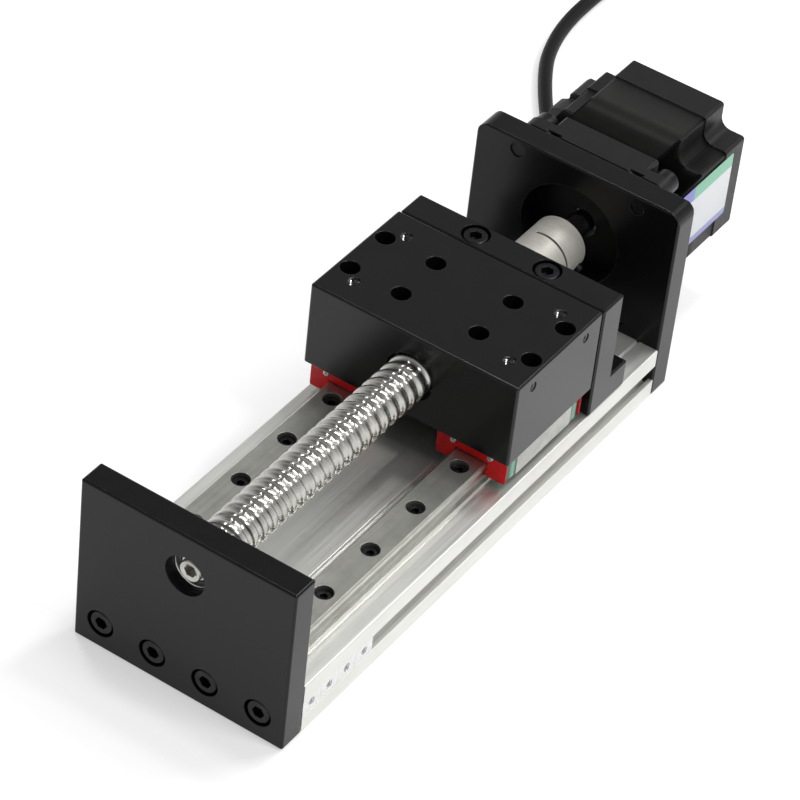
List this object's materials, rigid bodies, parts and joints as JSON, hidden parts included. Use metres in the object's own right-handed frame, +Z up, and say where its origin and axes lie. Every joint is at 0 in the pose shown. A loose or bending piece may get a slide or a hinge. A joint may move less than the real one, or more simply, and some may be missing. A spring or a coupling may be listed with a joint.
{
  "type": "ball screw linear module",
  "caption": "Closed-base linear module: ball screw drives a carriage on two profile rails, with end plate, bearing housing, coupling and flange-mounted stepper motor.",
  "frame": {"origin": "middle of the module's length and width, on the surface that its base stands on", "axes": "+Y along the module from the end plate to the motor, +Z up, +X to the right seen from the end plate"},
  "size_m": [0.2073, 0.4543, 0.0772],
  "materials": {
    "clear_anodised_aluminium": "clear anodised, extruded",
    "black_anodised_aluminium": "black anodised, milled",
    "black_oxide_steel": "black oxide",
    "bearing_steel": "ground and polished",
    "bearing_shield": "pressed steel",
    "rail_steel": "hardened and ground",
    "zinc_steel": "zinc plated",
    "motor_black": "black paint on die-cast aluminium",
    "motor_stack": "black paint on steel laminations",
    "black_plastic": "moulded nylon",
    "cable_jacket": "extruded soft PVC",
    "white_plastic": "moulded nylon",
    "block_steel": "ground steel",
    "teal_plastic": "moulded acetal",
    "red_seal": "moulded rubber on steel",
    "nut_steel": "dark hardened steel",
    "wiper_plastic": "moulded polymer",
    "screw_steel": "rolled and polished",
    "coupling_aluminium": "clear anodised, turned",
    "shaft_steel": "ground steel",
    "rotor_steel": "stacked laminations"
  },
  "bodies": {
    "frame": {"base_extrusion": "clear_anodised_aluminium", "front_plate": "black_anodised_aluminium", "bearing_housing": "black_anodised_aluminium", "motor_plate": "black_anodised_aluminium", "front_plate_screws": "black_oxide_steel", "rail_screws": "black_oxide_steel", "housing_screws": "black_oxide_steel", "motor_plate_screws": "black_oxide_steel", "motor_screws": "black_oxide_steel", "housing_retaining_ring": "black_oxide_steel", "front_bearing_outer_ring": "bearing_steel", "front_bearing_balls": "bearing_steel", "fixed_bearing_outer_ring": "bearing_steel", "fixed_bearing_balls": "bearing_steel", "motor_bearing_outer_rings": "bearing_steel", "motor_bearing_balls": "bearing_steel", "front_bearing_shields": "bearing_shield", "rail_left": "rail_steel", "rail_right": "rail_steel", "slot_nuts": "zinc_steel", "motor_front_bell": "motor_black", "motor_rear_bell": "motor_black", "motor_stator": "motor_stack", "cable_outlet": "black_plastic", "motor_cable": "cable_jacket", "cable_coil": "cable_jacket", "cable_tail": "cable_jacket", "cable_tie": "white_plastic", "cable_connector": "white_plastic"},
    "carriage": {"carriage": "black_anodised_aluminium", "block_left": "block_steel", "block_right": "block_steel", "block_caps_left": "teal_plastic", "block_caps_right": "teal_plastic", "block_seals_left": "red_seal", "block_seals_right": "red_seal", "seal_screws": "zinc_steel", "carriage_screws": "black_oxide_steel", "nut_screws": "black_oxide_steel", "ball_nut": "nut_steel", "nut_wipers": "wiper_plastic", "nut_balls": "bearing_steel"},
    "screw": {"ball_screw": "screw_steel", "front_bearing_inner_ring": "bearing_steel", "fixed_bearing_inner_ring": "bearing_steel", "motor_bearing_inner_rings": "bearing_steel", "lock_nut": "black_oxide_steel", "coupling_screws": "black_oxide_steel", "shaft_coupling": "coupling_aluminium", "motor_shaft": "shaft_steel", "motor_rotor": "rotor_steel"}
  },
  "joints": [
    {"name": "carriage_slide", "type": "slide", "parent": "frame", "child": "carriage", "axis": [0, 1, 0], "range_m": [-0.104, 0.001]},
    {"name": "screw_spin", "type": "hinge", "parent": "frame", "child": "screw", "pos_m": [0, 0, 0.049], "axis": [0, 1, 0], "range_deg": [-80, 7500]}
  ],
  "couplings": [
    {"joint": "screw_spin", "follows": "carriage_slide", "rad_per_m": -1256.6}
  ]
}
